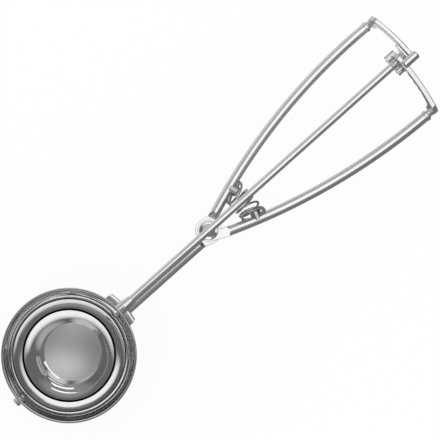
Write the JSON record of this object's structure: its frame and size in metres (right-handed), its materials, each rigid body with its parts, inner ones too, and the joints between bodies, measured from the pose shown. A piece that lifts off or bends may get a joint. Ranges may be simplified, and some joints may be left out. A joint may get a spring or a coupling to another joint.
{
  "type": "ice cream scoop",
  "caption": "Squeeze-handle ice cream scoop: a round bowl whose curved scraper blade is swept by a rack and pinion when two sprung rod grips are squeezed together.",
  "frame": {"origin": "centre of the bowl's sphere, on the axis of the scraper shaft", "axes": "+X along the shaft towards the ends of the grips; +Z out of the bowl's mouth; +Y towards the fixed grip, and -Y towards the moving grip"},
  "size_m": [0.2223, 0.0568, 0.0418],
  "materials": {
    "polished_steel": "mirror-polished stainless steel",
    "working_steel": "polished stainless steel with softened edges",
    "blade_steel": "thin spring-tempered stainless strip, bright rolled",
    "spring_wire": "bright drawn spring wire"
  },
  "bodies": {
    "frame": {"bowl": "polished_steel", "bowl_bracket": "polished_steel", "bowl_bush": "working_steel", "bowl_pin": "polished_steel", "fixed_handle": "polished_steel", "pivot_rivet": "polished_steel", "pivot_washer": "polished_steel", "fixed_spring_seat": "polished_steel", "handle_spring": "spring_wire", "fixed_ferrule": "polished_steel", "fixed_arm": "working_steel", "rack_guide": "working_steel", "shaft_plate": "working_steel", "end_bush": "working_steel"},
    "lever": {"moving_handle": "polished_steel", "moving_ferrule": "polished_steel", "rack": "working_steel", "moving_spring_seat": "polished_steel"},
    "scraper": {"scraper_shaft": "polished_steel", "pinion": "working_steel", "scraper_blade": "blade_steel", "blade_washer": "blade_steel"}
  },
  "joints": [
    {"name": "lever_pivot", "type": "hinge", "parent": "frame", "child": "lever", "pos_m": [0.0785, 0, -0.0075], "axis": [0, 0, 1], "range_deg": [0, 6.18], "stiffness_Nm_per_rad": 0.67, "springref_deg": -22.92, "deforming": ["handle_spring"]},
    {"name": "scraper_turn", "type": "hinge", "parent": "frame", "child": "scraper", "pos_m": [0, 0, 0], "axis": [-1, 0, 0], "range_deg": [0, 159]}
  ],
  "couplings": [
    {"joint": "scraper_turn", "follows": "lever_pivot", "ratio": 25.721}
  ]
}
